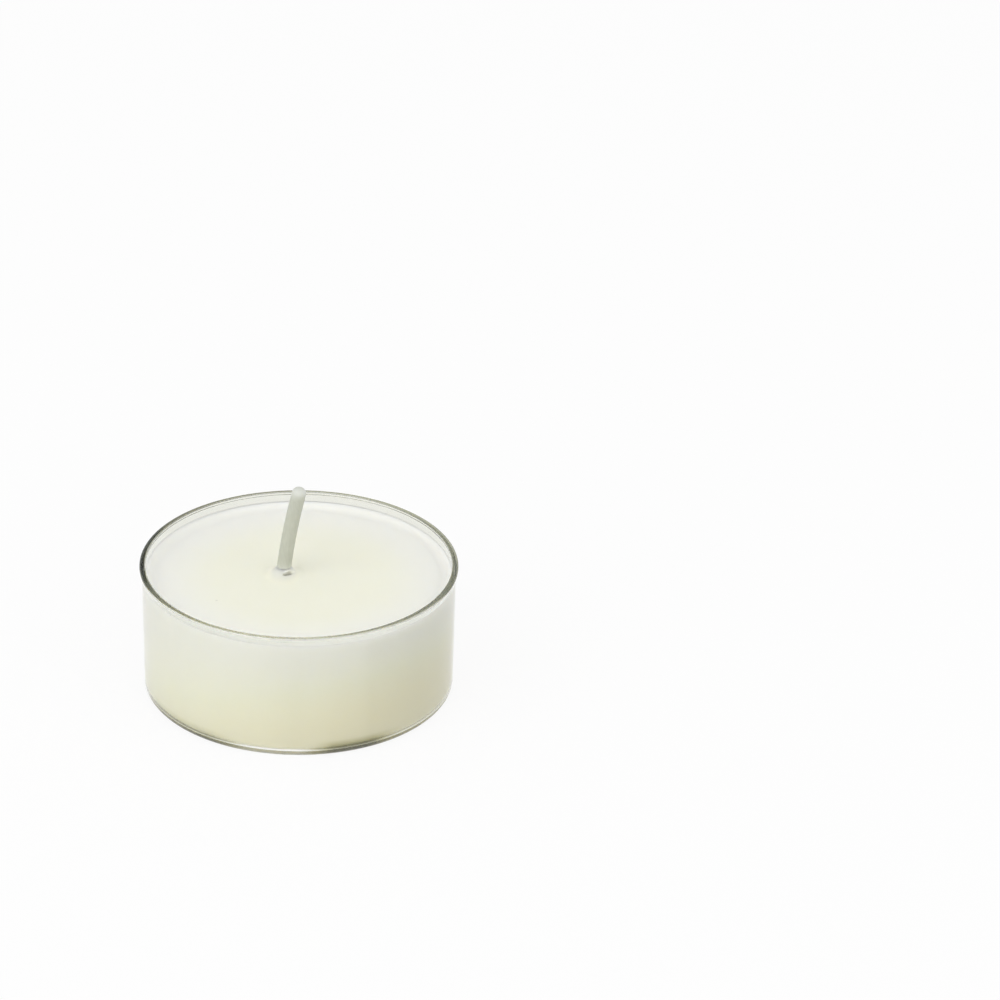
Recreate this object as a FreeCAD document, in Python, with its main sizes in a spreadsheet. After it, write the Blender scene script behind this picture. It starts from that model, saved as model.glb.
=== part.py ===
import FreeCAD, Part
import math
import os

import Sketcher

# Tea light candle in a clear cup.
#
# A thin cup moulded in clear polycarbonate holds one pour of ivory wax. A round steel
# sustainer lies on the floor of the cup, a little off the middle, and grips the foot of
# the wick in its crimped neck. The wick is stiff with wax. It rises from the neck in one
# gentle curve that leans back over the middle of the cup, and ends well above the rim.
#
# Millimetres, +Z up. The origin is on the table, under the middle of the cup's foot.

# Driving dimensions. Angles are in degrees.
SIZES = {
    # cup
    "rim_diameter": 39.0,        # over the lip
    "cup_height": 16.5,
    "cup_wall": 0.5,
    "cup_floor": 0.6,
    "cup_draft": 1.0,            # taper of the wall, so that the cup leaves its mould
    "lip_projection": 0.25,      # how far the lip stands out of the wall
    "lip_height": 0.45,
    "lip_edge_radius": 0.18,
    "mouth_edge_radius": 0.12,
    "base_corner_radius": 0.9,
    "inner_corner_radius": 0.5,
    "foot_width": 1.6,           # from the wall to the hollow under the cup
    "foot_height": 0.3,          # how far the middle of the floor is raised
    "foot_ramp": 0.5,
    "foot_edge_radius": 0.15,
    "gate_diameter": 2.4,        # dimple where the plastic entered the mould
    "gate_depth": 0.15,
    "gate_mark_diameter": 0.7,   # broken-off gate, sunk in the dimple
    "gate_mark_height": 0.1,
    # wax
    "wax_wall_gap": 0.05,        # the pour shrinks off the wall as it sets
    "fill_below_rim": 2.05,      # from the rim down to the middle of the wax
    "dish_depth": 0.15,
    "meniscus_height": 0.72,
    "meniscus_width": 1.5,
    "collar_height": 0.6,        # wax drawn up round the wick
    "collar_width": 1.7,
    "collar_land": 0.2,
    "pour_clearance": 0.02,      # round what the wax is poured over
    # sustainer
    "tab_diameter": 15.0,
    "tab_thickness": 0.25,
    "tab_offset": 2.9,           # from the middle of the cup to the sustainer's own axis
    "tab_azimuth": 151.0,        # from +X towards +Y
    "neck_height": 3.0,
    "neck_root_radius": 0.4,
    "neck_clearance": 0.01,
    "crimp_depth": 0.09,
    "crimp_length": 1.2,
    "crimp_below_top": 0.5,
    "crimp_count": 4,
    # wick
    "wick_diameter": 1.8,
    "wick_above_rim": 10.35,
    "wick_curve_radius": 87.0,
    "wick_tip_radius": 0.75,
}


def size(name):
    """Expression for one cell of the sheet."""
    return f"sizes.{name}"


# Heights and radii that several pieces share, as expressions on the sheet.
CUP_TOP = size("cup_height")
FLOOR_LOW = size("cup_floor")
FLOOR_TOP = f"({size('cup_floor')} + {size('foot_height')})"
TAPER = f"tan({size('cup_draft')} * 1deg)"
LIP_RADIUS = f"({size('rim_diameter')} / 2)"
WAX_MIDDLE = f"({CUP_TOP} - {size('fill_below_rim')})"
WAX_SHOULDER = f"({WAX_MIDDLE} + {size('dish_depth')})"
WAX_EDGE = f"({WAX_SHOULDER} + {size('meniscus_height')})"
WICK_RADIUS = f"({size('wick_diameter')} / 2)"
WICK_TOP = f"({CUP_TOP} + {size('wick_above_rim')})"
NECK_BORE = f"({WICK_RADIUS} + {size('neck_clearance')})"
NECK_RADIUS = f"({NECK_BORE} + {size('tab_thickness')})"
NECK_TOP = f"({FLOOR_TOP} + {size('neck_height')})"


def wall_radius(height):
    """Outside of the tapered wall at a height."""
    return f"({LIP_RADIUS} - {size('lip_projection')} - ({CUP_TOP} - {height}) * {TAPER})"


def bore_radius(height):
    """Inside of the tapered wall at a height."""
    return f"({wall_radius(height)} - {size('cup_wall')})"


def wax_radius(height):
    """Side of the wax at a height, clear of the wall by the shrinkage."""
    return f"({bore_radius(height)} - {size('wax_wall_gap')})"


FOOT_RADIUS = f"({wall_radius('0')} - {size('foot_width')})"
RAISED_RADIUS = f"({FOOT_RADIUS} - {size('foot_ramp')})"


def rising_arc_radius(width, height):
    """Radius of an arc that starts level and climbs a height over a width."""
    return f"(({width}) ^ 2 + ({height}) ^ 2) / (2 * ({height}))"


def wick_reach(height):
    """How far the wick's middle line has leaned back from the neck's axis at a height."""
    radius = size("wick_curve_radius")
    return f"({radius} - sqrt({radius} ^ 2 - ({height} - {NECK_TOP}) ^ 2))"


def make_sheet(doc):
    sheet = doc.addObject("Spreadsheet::Sheet", "sizes")
    for row, (name, value) in enumerate(SIZES.items(), start=1):
        sheet.set(f"A{row}", name)
        sheet.set(f"B{row}", str(value))
        sheet.setAlias(f"B{row}", name)
    doc.recompute()


def value_of(doc, expression):
    """The plain number that an expression on the sheet gives now."""
    found = doc.getObject("sizes").evalExpression(expression)
    return float(getattr(found, "Value", found))


def make_body(doc, label, azimuth=None, offset=None):
    """A body named after its piece, turned about Z and moved out along that azimuth."""
    body = doc.addObject("PartDesign::Body", label)
    body.Label = label
    body.Placement = FreeCAD.Placement(FreeCAD.Vector(), FreeCAD.Rotation(FreeCAD.Vector(0, 0, 1), 0))
    if azimuth:
        body.setExpression(".Placement.Rotation.Angle", azimuth)
    if offset:
        body.setExpression(".Placement.Base.x", f"{offset} * cos({azimuth} * 1deg)")
        body.setExpression(".Placement.Base.y", f"{offset} * sin({azimuth} * 1deg)")
    return body


def make_sketch(body, name, role="XZ_Plane", shift=None):
    """An empty sketch on one of the body's own planes, with its origin shifted on it."""
    plane = next(f for f in body.Origin.OriginFeatures if f.Role == role)
    sketch = body.newObject("Sketcher::SketchObject", name)
    sketch.AttachmentSupport = (plane, "")
    sketch.MapMode = "FlatFace"
    for axis, expression in (shift or {}).items():
        sketch.setExpression(f".AttachmentOffset.Base.{axis}", expression)
    return sketch


def dimension(sketch, kind, point, expression, label):
    """Ties a point to the sheet by DistanceX or DistanceY, or an arc by its Radius."""
    if expression == "0":
        axis = {"DistanceX": -2, "DistanceY": -1}[kind]
        sketch.addConstraint(Sketcher.Constraint("PointOnObject", *point, axis))
        return
    origin = () if kind == "Radius" else (-1, 1)
    number = value_of(sketch.Document, expression)
    index = sketch.addConstraint(Sketcher.Constraint(kind, *origin, *point, number))
    sketch.renameConstraint(index, label)
    sketch.setExpression(f"Constraints.{label}", expression)


def arc_between(start, end, radius, side):
    """The short arc from start to end that bulges to the left (1) or right (-1) of the way."""
    chord = end - start
    across = FreeCAD.Vector(-chord.y, chord.x, 0).normalize() * side
    sagitta = radius - math.sqrt(radius**2 - (chord.Length / 2) ** 2)
    return Part.Arc(start, (start + end) / 2 + across * sagitta, end)


def closed_outline(sketch, corners):
    """Draws a closed outline and ties every corner to the sheet.

    A corner is (x, y) or (x, y, radius, side), as expressions. The last two turn the
    side that leaves the corner into an arc that bulges to the left (1) or right (-1).
    """
    doc = sketch.Document
    points = [FreeCAD.Vector(value_of(doc, c[0]), value_of(doc, c[1]), 0) for c in corners]
    sides = []
    for corner, start, end in zip(corners, points, points[1:] + points[:1]):
        if len(corner) == 2:
            index = sketch.addGeometry(Part.LineSegment(start, end), False)
            sides.append((index, 1, 2))
            continue
        arc = arc_between(start, end, value_of(doc, corner[2]), corner[3])
        index = sketch.addGeometry(arc, False)
        drawn = sketch.getPoint(index, 1)
        forward = drawn.distanceToPoint(start) < drawn.distanceToPoint(end)
        sides.append((index, 1, 2) if forward else (index, 2, 1))
    for (index, _, end), (following, start, _) in zip(sides, sides[1:] + sides[:1]):
        sketch.addConstraint(Sketcher.Constraint("Coincident", index, end, following, start))
    for number, (corner, (index, start, _)) in enumerate(zip(corners, sides)):
        dimension(sketch, "DistanceX", (index, start), corner[0], f"x{number}")
        dimension(sketch, "DistanceY", (index, start), corner[1], f"y{number}")
        if len(corner) > 2:
            dimension(sketch, "Radius", (index,), corner[2], f"bend{number}")


def turned(body, kind, name, corners, shift=None):
    """Turns a section about the sketch's upright axis: a Revolution adds, a Groove cuts."""
    sketch = make_sketch(body, f"{name}_section", shift=shift)
    closed_outline(sketch, corners)
    feature = body.newObject(f"PartDesign::{kind}", name)
    feature.Profile = sketch
    feature.ReferenceAxis = (sketch, ["V_Axis"])
    feature.Angle = 360
    body.Document.recompute()
    return feature


def rounded(body, name, base, rings, radius):
    """Rounds the circular edges of a feature that lie at each (radius, height)."""
    doc = body.Document
    wanted = [(value_of(doc, ring), value_of(doc, height)) for ring, height in rings]
    edges = []
    for number, edge in enumerate(base.Shape.Edges, start=1):
        if edge.Degenerated or not isinstance(edge.Curve, Part.Circle):
            continue
        at = (edge.Curve.Radius, edge.Curve.Center.z)
        if any(math.dist(at, ring) < Part.Precision.approximation() for ring in wanted):
            edges.append(f"Edge{number}")
    fillet = body.newObject("PartDesign::Fillet", name)
    fillet.Base = (base, edges)
    fillet.setExpression("Radius", radius)
    doc.recompute()
    return fillet


def make_cup(doc):
    """One moulding: tapered wall, turned-out lip, and a floor raised inside a ring foot."""
    body = make_body(doc, "cup")
    lip_low = f"({CUP_TOP} - {size('lip_height')})"
    shell = turned(body, "Revolution", "shell", [
        (FOOT_RADIUS, "0"),
        (wall_radius("0"), "0"),
        (wall_radius(lip_low), lip_low),
        (LIP_RADIUS, lip_low),
        (LIP_RADIUS, CUP_TOP),
        (bore_radius(CUP_TOP), CUP_TOP),
        (bore_radius(FLOOR_LOW), FLOOR_LOW),
        (FOOT_RADIUS, FLOOR_LOW),
        (RAISED_RADIUS, FLOOR_TOP),
        ("0", FLOOR_TOP),
        ("0", size("foot_height")),
        (RAISED_RADIUS, size("foot_height")),
    ])
    foot = [
        (FOOT_RADIUS, "0"),
        (RAISED_RADIUS, size("foot_height")),
        (FOOT_RADIUS, FLOOR_LOW),
        (RAISED_RADIUS, FLOOR_TOP),
    ]
    lip = [(LIP_RADIUS, lip_low), (LIP_RADIUS, CUP_TOP)]
    mouth = [(bore_radius(CUP_TOP), CUP_TOP)]
    outer_corner = [(wall_radius("0"), "0")]
    inner_corner = [(bore_radius(FLOOR_LOW), FLOOR_LOW)]
    shell = rounded(body, "base_corner", shell, outer_corner, size("base_corner_radius"))
    shell = rounded(body, "inner_corner", shell, inner_corner, size("inner_corner_radius"))
    shell = rounded(body, "foot_edges", shell, foot, size("foot_edge_radius"))
    shell = rounded(body, "lip_edges", shell, lip, size("lip_edge_radius"))
    rounded(body, "mouth_edge", shell, mouth, size("mouth_edge_radius"))

    gate_radius = f"({size('gate_diameter')} / 2)"
    mark_radius = f"({size('gate_mark_diameter')} / 2)"
    gate_top = f"({size('foot_height')} + {size('gate_depth')})"
    mark_low = f"({gate_top} - {size('gate_mark_height')})"
    turned(body, "Groove", "gate_dimple", [
        ("0", "0"),
        (gate_radius, "0"),
        (gate_radius, gate_top),
        (mark_radius, gate_top),
        (mark_radius, mark_low),
        ("0", mark_low),
    ])
    return body


def along_wick(body, kind, name, radius, neck_axis="0"):
    """A round rod (AdditivePipe) or hole (SubtractivePipe) on the wick's middle line.

    The line stands upright in the neck, and then follows one arc back over the cup.
    """
    doc = body.Document
    route = make_sketch(body, f"{name}_route", shift={"x": neck_axis})
    low, turn, top = (value_of(doc, height) for height in (FLOOR_TOP, NECK_TOP, WICK_TOP))
    curve = value_of(doc, size("wick_curve_radius"))
    foot = Part.LineSegment(FreeCAD.Vector(0, low, 0), FreeCAD.Vector(0, turn, 0))
    circle = Part.Circle(FreeCAD.Vector(-curve, turn, 0), FreeCAD.Vector(0, 0, 1), curve)
    stem = Part.ArcOfCircle(circle, 0, math.asin((top - turn) / curve))
    line, arc = (route.addGeometry(part, False) for part in (foot, stem))
    route.addConstraint(Sketcher.Constraint("Vertical", line))
    route.addConstraint(Sketcher.Constraint("Tangent", line, 2, arc, 1))
    dimension(route, "DistanceX", (line, 1), "0", "foot_x")
    dimension(route, "DistanceY", (line, 1), FLOOR_TOP, "foot_y")
    dimension(route, "DistanceY", (line, 2), NECK_TOP, "turn_y")
    dimension(route, "DistanceY", (arc, 2), WICK_TOP, "top_y")
    dimension(route, "Radius", (arc,), size("wick_curve_radius"), "curve")

    ring = make_sketch(body, f"{name}_ring", "XY_Plane", {"x": neck_axis, "z": FLOOR_TOP})
    circle = Part.Circle(FreeCAD.Vector(), FreeCAD.Vector(0, 0, 1), value_of(doc, radius))
    index = ring.addGeometry(circle, False)
    ring.addConstraint(Sketcher.Constraint("Coincident", index, 3, -1, 1))
    dimension(ring, "Radius", (index,), radius, "ring")
    doc.recompute()

    pipe = body.newObject(f"PartDesign::{kind}", name)
    pipe.Profile = ring
    pipe.Spine = (route, ["Edge1", "Edge2"])
    doc.recompute()
    return pipe


def make_wax(doc):
    """One pour: it climbs the wall and the wick, and is cast round the sustainer."""
    body = make_body(doc, "wax", size("tab_azimuth"))
    shoulder_radius = f"({wax_radius(WAX_EDGE)} - {size('meniscus_width')})"
    meniscus_bend = rising_arc_radius(size("meniscus_width"), size("meniscus_height"))
    dish_bend = rising_arc_radius(shoulder_radius, size("dish_depth"))
    pour = turned(body, "Revolution", "pour", [
        ("0", FLOOR_TOP),
        (RAISED_RADIUS, FLOOR_TOP),
        (FOOT_RADIUS, FLOOR_LOW),
        (wax_radius(FLOOR_LOW), FLOOR_LOW),
        (wax_radius(WAX_EDGE), WAX_EDGE, meniscus_bend, 1),
        (shoulder_radius, WAX_SHOULDER, dish_bend, 1),
        ("0", WAX_MIDDLE),
    ])
    corner = [(wax_radius(FLOOR_LOW), FLOOR_LOW)]
    ramp = [(FOOT_RADIUS, FLOOR_LOW), (RAISED_RADIUS, FLOOR_TOP)]
    corner_radius = f"{size('inner_corner_radius')} + {size('wax_wall_gap')}"
    pour = rounded(body, "pour_corner", pour, corner, corner_radius)
    rounded(body, "pour_ramp", pour, ramp, size("foot_edge_radius"))

    collar_top = f"({WAX_MIDDLE} + {size('collar_height')})"
    land_radius = f"({WICK_RADIUS} + {size('collar_land')})"
    skirt_radius = f"({land_radius} + {size('collar_width')})"
    collar_bend = rising_arc_radius(size("collar_width"), size("collar_height"))
    exit_x = f"{size('tab_offset')} - {wick_reach(WAX_MIDDLE)}"
    turned(body, "Revolution", "collar", [
        ("0", NECK_TOP),
        (skirt_radius, NECK_TOP),
        (skirt_radius, WAX_MIDDLE, collar_bend, 1),
        (land_radius, collar_top),
        ("0", collar_top),
    ], {"x": exit_x})

    gap = size("pour_clearance")
    tab_top = f"({FLOOR_TOP} + {size('tab_thickness')} + {gap})"
    tab_edge = f"({size('tab_diameter')} / 2 + {gap})"
    neck_side = f"({NECK_RADIUS} + {gap})"
    neck_end = f"({NECK_TOP} + {gap})"
    root = f"({size('neck_root_radius')} - {gap})"
    turned(body, "Groove", "sustainer_seat", [
        ("0", FLOOR_TOP),
        (tab_edge, FLOOR_TOP),
        (tab_edge, tab_top),
        (f"({neck_side} + {root})", tab_top, root, 1),
        (neck_side, f"({tab_top} + {root})"),
        (neck_side, neck_end),
        ("0", neck_end),
    ], {"x": size("tab_offset")})
    along_wick(body, "SubtractivePipe", "wick_hole", f"({WICK_RADIUS} + {gap})",
               size("tab_offset"))
    return body


def make_sustainer(doc):
    """Stamped steel: a flat disc with a drawn neck, crimped on to the wick all round."""
    body = make_body(doc, "wick_sustainer", size("tab_azimuth"), size("tab_offset"))
    tab_radius = f"({size('tab_diameter')} / 2)"
    tab_top = f"({FLOOR_TOP} + {size('tab_thickness')})"
    root = size("neck_root_radius")
    underside_bend = f"({root} + {size('tab_thickness')})"
    turned(body, "Revolution", "stamping", [
        (f"({NECK_BORE} + {underside_bend})", FLOOR_TOP),
        (tab_radius, FLOOR_TOP),
        (tab_radius, tab_top),
        (f"({NECK_RADIUS} + {root})", tab_top, root, 1),
        (NECK_RADIUS, f"({tab_top} + {root})"),
        (NECK_RADIUS, NECK_TOP),
        (NECK_BORE, NECK_TOP),
        (NECK_BORE, f"({FLOOR_TOP} + {underside_bend})", underside_bend, -1),
    ])

    section = make_sketch(body, "crimp_section")
    crimp_top = f"({NECK_TOP} - {size('crimp_below_top')})"
    crimp_low = f"({crimp_top} - {size('crimp_length')})"
    crimp_face = f"({NECK_RADIUS} - {size('crimp_depth')})"
    clear_of_neck = f"({NECK_RADIUS} + {size('tab_thickness')})"
    closed_outline(section, [
        (crimp_face, crimp_low),
        (clear_of_neck, crimp_low),
        (clear_of_neck, crimp_top),
        (crimp_face, crimp_top),
    ])
    crimp = body.newObject("PartDesign::Pocket", "crimp")
    crimp.Profile = section
    crimp.SideType = "Symmetric"
    crimp.setExpression("Length", f"2 * {NECK_RADIUS}")
    doc.recompute()
    crimps = body.newObject("PartDesign::PolarPattern", "crimps")
    crimps.Originals = [crimp]
    crimps.Axis = (section, ["V_Axis"])
    crimps.Angle = 360
    crimps.setExpression("Occurrences", size("crimp_count"))
    body.Tip = crimps
    return body


def make_wick(doc):
    """Braided cotton soaked in wax, trimmed to a rounded tip."""
    body = make_body(doc, "wick", size("tab_azimuth"), size("tab_offset"))
    rod = along_wick(body, "AdditivePipe", "rod", WICK_RADIUS)
    top = value_of(doc, WICK_TOP)
    rings = [f"Edge{number}" for number, edge in enumerate(rod.Shape.Edges, start=1)
             if edge.isClosed() and abs(edge.CenterOfMass.z - top) < value_of(doc, WICK_RADIUS)]
    tip = body.newObject("PartDesign::Fillet", "tip")
    tip.Base = (rod, rings)
    tip.setExpression("Radius", size("wick_tip_radius"))
    return body


def check(doc, bodies):
    """Stops if a feature failed, a cut removed nothing, or a piece isn't one valid solid."""
    failed = [f.Label for f in doc.Objects if {"Invalid", "Error"} & set(f.State)]
    if failed:
        raise RuntimeError(f"these features failed: {failed}")
    cuts = ("PartDesign::Groove", "PartDesign::Pocket", "PartDesign::SubtractivePipe",
            "PartDesign::PolarPattern")
    for feature in doc.Objects:
        if feature.TypeId in cuts and not feature.Shape.Volume < feature.BaseFeature.Shape.Volume:
            raise RuntimeError(f"{feature.Label} cuts nothing")
    for body in bodies:
        shape = body.Shape
        if shape.isNull() or not shape.isValid() or len(shape.Solids) != 1:
            raise RuntimeError(f"{body.Label} isn't one valid solid")


doc = FreeCAD.newDocument("tea_light")
make_sheet(doc)
bodies = [make_cup(doc), make_wax(doc), make_sustainer(doc), make_wick(doc)]
doc.recompute()
check(doc, bodies)
os.makedirs("parts", exist_ok=True)
for body in bodies:
    body.Shape.exportStep(f"parts/{body.Label}.step")
    box = body.Shape.BoundBox
    print(f"{body.Label}: volume {body.Shape.Volume:.1f} mm3, z {box.ZMin:.3f} to {box.ZMax:.3f}")
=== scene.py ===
import math

import bpy
import numpy as np
from mathutils import Matrix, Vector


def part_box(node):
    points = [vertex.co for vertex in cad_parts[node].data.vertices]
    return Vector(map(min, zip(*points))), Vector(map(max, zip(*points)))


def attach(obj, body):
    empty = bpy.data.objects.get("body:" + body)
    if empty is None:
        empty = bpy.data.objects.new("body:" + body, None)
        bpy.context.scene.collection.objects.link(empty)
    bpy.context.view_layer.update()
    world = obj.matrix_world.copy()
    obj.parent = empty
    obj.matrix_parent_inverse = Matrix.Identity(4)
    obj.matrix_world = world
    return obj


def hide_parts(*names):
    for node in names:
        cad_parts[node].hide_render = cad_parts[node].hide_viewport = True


# Tea light candle: a clear cup, one pour of ivory wax, a steel sustainer on the cup's floor and
# a waxed wick. Metres, +Z up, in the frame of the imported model.

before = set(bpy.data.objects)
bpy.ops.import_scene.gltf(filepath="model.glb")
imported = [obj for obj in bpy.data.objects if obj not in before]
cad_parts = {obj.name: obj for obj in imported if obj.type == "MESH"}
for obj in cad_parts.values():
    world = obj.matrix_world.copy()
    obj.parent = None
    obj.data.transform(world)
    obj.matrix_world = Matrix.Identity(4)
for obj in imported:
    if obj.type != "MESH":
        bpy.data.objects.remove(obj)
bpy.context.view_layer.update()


# Cup. One thin moulding in clear polycarbonate, polished by its mould: a tapered wall with a
# turned-out lip, and a floor that is raised inside a ring foot. Light is led along inside the
# plastic, so its edges, the lip and the foot, look dark. That dark is painted shade in the
# plastic's colour, streaked round the lip and the foot, with a faint painted shade on the bare
# band of wall at the back.
_, cup_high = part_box("cup")
LIP_RADIUS = float(cup_high[0])
CUP_TOP = float(cup_high[2])
CUP_WALL = 0.0005
CUP_FLOOR = 0.0006
CUP_TAPER = math.tan(math.radians(1.0))
LIP_PROJECTION = 0.00025
LIP_HEIGHT = 0.00045
LIP_EDGE_RADIUS = 0.00018
MOUTH_EDGE_RADIUS = 0.00005
SMALL_EDGE_RADIUS = 0.00004
BASE_CORNER_RADIUS = 0.0009
INNER_CORNER_RADIUS = 0.0005
FOOT_WIDTH = 0.0016
FOOT_HEIGHT = 0.0003
FOOT_RAMP = 0.0005
FOOT_EDGE_RADIUS = 0.00015
GATE_RADIUS = 0.0012
GATE_DEPTH = 0.00015
GATE_MARK_RADIUS = 0.00035
GATE_MARK_HEIGHT = 0.0001
CUP_AROUND = 256
ARC_STEPS = 8
RUN_SPACING = 0.0015
LIP_SPACING = 0.00005
RUN_SUPPORT = 0.00004
WET_CONTACT = 0.000005
POLYCARBONATE_IOR = 1.585
POLYCARBONATE_TINT = (0.93, 0.935, 0.90)
# The next two tones are painted shade: they stand in for the dark that the lip and foot show by
# reflection and refraction.
HALF_PAINTED_SHADE = (0.47, 0.46, 0.27)
EDGE_PAINTED_SHADE = (0.016, 0.019, 0.018)
SHADOW_TINT = (0.95, 0.955, 0.94)
FLOW_SCALE = 260.0
FLOW_RELIEF = 0.0001
FLOW_STRENGTH = 0.06
SCUFF_SCALE = 5200.0
SCUFF_CRISPNESS = 0.7
SCUFF_START = 0.55
SCUFF_END = 0.8
POLISHED_ROUGHNESS = 0.015
SCUFFED_ROUGHNESS = 0.09
# Where the painted shade lies on the lip's top and round the foot, streaked by azimuth.
DARK_LIP_TOP = 0.00012
DARK_LIP_FADE = 0.00008
DARK_FOOT_FADE = 0.00030
LIP_AZIMUTH = (-180, -165, -150, -130, -112, -88, -75, -60, -40, -25, -12, 0, 15, 32, 50, 75, 120,
               138, 152, 157, 180)
LIP_UNSHADED = (0.10, 0.12, 0.30, 0.50, 0.72, 0.78, 0.62, 0.50, 0.40, 0.34, 0.28, 0.40, 0.46, 0.48,
             0.50, 0.38, 0.36, 0.30, 0.24, 0.10, 0.10)
REACH_AZIMUTH = (-175, -155, -115, -60, -28, -8)
LIP_REACH = (0.00090, 0.00065, 0.00042, 0.00042, 0.00060, 0.00090)
INSET_AZIMUTH = (-180, -120, -60, 0, 40, 70, 100, 140, 165, 180)
LIP_INSET = (0.00010, 0.00010, 0, 0, 0.00008, 0.00020, 0.00022, 0.00018, 0.00014, 0.00010)
FOOT_AZIMUTH = (-180, -172, -150, -125, -116, -108, -88, -81, -76, -60, -54, -20, 0, 40, 90, 140,
                180)
FOOT_UNSHADED = (0.70, 0.40, 0.30, 0.26, 0.45, 0.95, 1.00, 0.60, 0.25, 0.18, 0.50, 0.60, 0.75, 0.70,
              0.90, 0.75, 0.70)
DARK_FOOT_AZIMUTH = (-165, -150, -122, -108, -88, -74, -60, -46)
DARK_FOOT_TOP = (0.00095, 0.00105, 0.00105, 0.00095, 0.00095, 0.00116, 0.00116, 0.00095)
# A faint painted shade on the bare band of wall at the back.
BAND_PAINTED_SHADE = 0.10


def wall_radius(height):
    """Outside of the cup's wall at a height: the wall leans out by its taper."""
    return LIP_RADIUS - LIP_PROJECTION - (CUP_TOP - height) * CUP_TAPER


def bore_radius(height):
    """Inside of the cup's wall at a height."""
    return wall_radius(height) - CUP_WALL


def rounded_outline(corners, rounding, spacing=RUN_SPACING):
    """Points (radius, height) along an open outline whose inner corners are arcs.

    A corner of rounding q between two straight runs is cut back on both by q divided by the
    tangent of half its angle. Its arc swings from one cut to the other about the point that
    lies q from both runs. Each run also gets evenly spaced points, whose spacing may be given
    run by run, and one close to each arc, so that the shading of the arc doesn't bleed into
    the run.
    """
    corners = np.array(corners)
    here = corners[1:-1]
    back = corners[:-2] - here
    ahead = corners[2:] - here
    back /= np.linalg.norm(back, axis=1, keepdims=True)
    ahead /= np.linalg.norm(ahead, axis=1, keepdims=True)
    half = np.arccos(np.clip((back * ahead).sum(1), -1, 1)) / 2
    q = np.array(rounding)
    middle = back + ahead
    middle /= np.linalg.norm(middle, axis=1, keepdims=True)
    centre = here + middle * (q / np.sin(half))[:, None]
    cut = (q / np.tan(half))[:, None]
    first = here + back * cut - centre
    last = here + ahead * cut - centre
    sweep = (math.pi - 2 * half)[:, None, None]
    share = np.linspace(0, 1, ARC_STEPS + 1)[None, :, None]
    swing = np.sin((1 - share) * sweep) * first[:, None] + np.sin(share * sweep) * last[:, None]
    arcs = centre[:, None] + swing / np.sin(sweep)
    line = np.concatenate([corners[:1], arcs.reshape(-1, 2), corners[-1:]])
    along = np.concatenate([[0], np.linalg.norm(np.diff(line, axis=0), axis=1).cumsum()])
    ends = along[1:-1].reshape(-1, ARC_STEPS + 1)
    bounds = np.concatenate([[0], ends.mean(axis=1), along[-1:]])
    counts = np.concatenate([[0], (np.diff(bounds) / spacing).cumsum()])
    even = np.interp(np.arange(0, counts[-1]), counts, bounds)
    before = ends[:, 0] - RUN_SUPPORT
    after = ends[:, -1] + RUN_SUPPORT
    in_arc = (even[:, None] > before) & (even[:, None] < after)
    places = np.concatenate([along, even[~in_arc.any(1)], before, after])
    places = np.unique(np.clip(places, 0, along[-1]))
    return np.stack([np.interp(places, along, line[:, k]) for k in range(2)], axis=1)


def grid_mesh(name, points, tube_ends="poles"):
    """A closed smooth mesh over a grid of points of shape (along, around, 3).

    Each cell of the grid is one quad, and the last column joins the first. With tube_ends
    "poles" the first and last rows close in a fan about their mean point. With "joined" the
    last row joins the first, as on a ring. The faces are turned outwards: if the volume, a
    sum over the faces of a corner dotted with the product of two others, is below zero, all
    faces are reversed.
    """
    rows, around = points.shape[:2]
    index = np.arange(rows * around).reshape(rows, around)
    right = np.roll(index, -1, axis=1)
    quads = np.stack([index, right, np.roll(right, -1, axis=0), np.roll(index, -1, axis=0)], axis=2)
    if tube_ends == "poles":
        quads = quads[:-1]
    faces = quads.reshape(-1, 4).tolist()
    corners = points.reshape(-1, 3)
    if tube_ends == "poles":
        poles = rows * around + np.arange(2)
        corners = np.concatenate([corners, points[[0, -1]].mean(axis=1)])
        first = np.stack([right[0], index[0], np.full(around, poles[0])], axis=1)
        last = np.stack([index[-1], right[-1], np.full(around, poles[1])], axis=1)
        faces += first.tolist() + last.tolist()
    a, b, c, d = (corners[quads.reshape(-1, 4)[:, k]] for k in range(4))
    volume = (a * np.cross(b, c)).sum() + (a * np.cross(c, d)).sum()
    if volume < 0:
        faces = [face[::-1] for face in faces]
    mesh = bpy.data.meshes.new(name)
    mesh.from_pydata(corners.tolist(), [], faces)
    mesh.shade_smooth()
    mesh.validate()
    return mesh


def turned(outline, around):
    """An outline of (radius, height) carried round +Z on evenly spaced angles."""
    angle = np.linspace(0, math.tau, around, endpoint=False)
    radius, height = outline[:, :1], outline[:, 1:]
    return np.stack([radius * np.cos(angle), radius * np.sin(angle), height + 0 * angle], axis=2)


def write_attribute(mesh, name, values):
    """Keeps one number for each vertex in the mesh."""
    mesh.attributes.new(name, "FLOAT", "POINT").data.foreach_set("value", values)


def piece(name, mesh, node, material):
    """Puts a finished mesh in the scene in place of a node of the frame."""
    made = bpy.data.objects.new(name, mesh)
    bpy.context.scene.collection.objects.link(made)
    mesh.materials.append(material)
    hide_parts(node)
    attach(made, "root")


def new_material(name):
    """An empty node material, and a function that adds a node and sets its inputs by name."""
    made = bpy.data.materials.new(name)
    made.use_nodes = True
    made.node_tree.nodes.clear()

    def node(kind, **inputs):
        added = made.node_tree.nodes.new(kind)
        for key, value in inputs.items():
            socket = added.inputs[key.replace("_", " ")]
            if isinstance(value, bpy.types.NodeSocket):
                made.node_tree.links.new(value, socket)
            else:
                socket.default_value = value
        return added

    return made, node


def read_attribute(node, name):
    """The number that the mesh keeps under a name."""
    added = node("ShaderNodeAttribute")
    added.attribute_name = name
    return added.outputs["Fac"]


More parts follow.
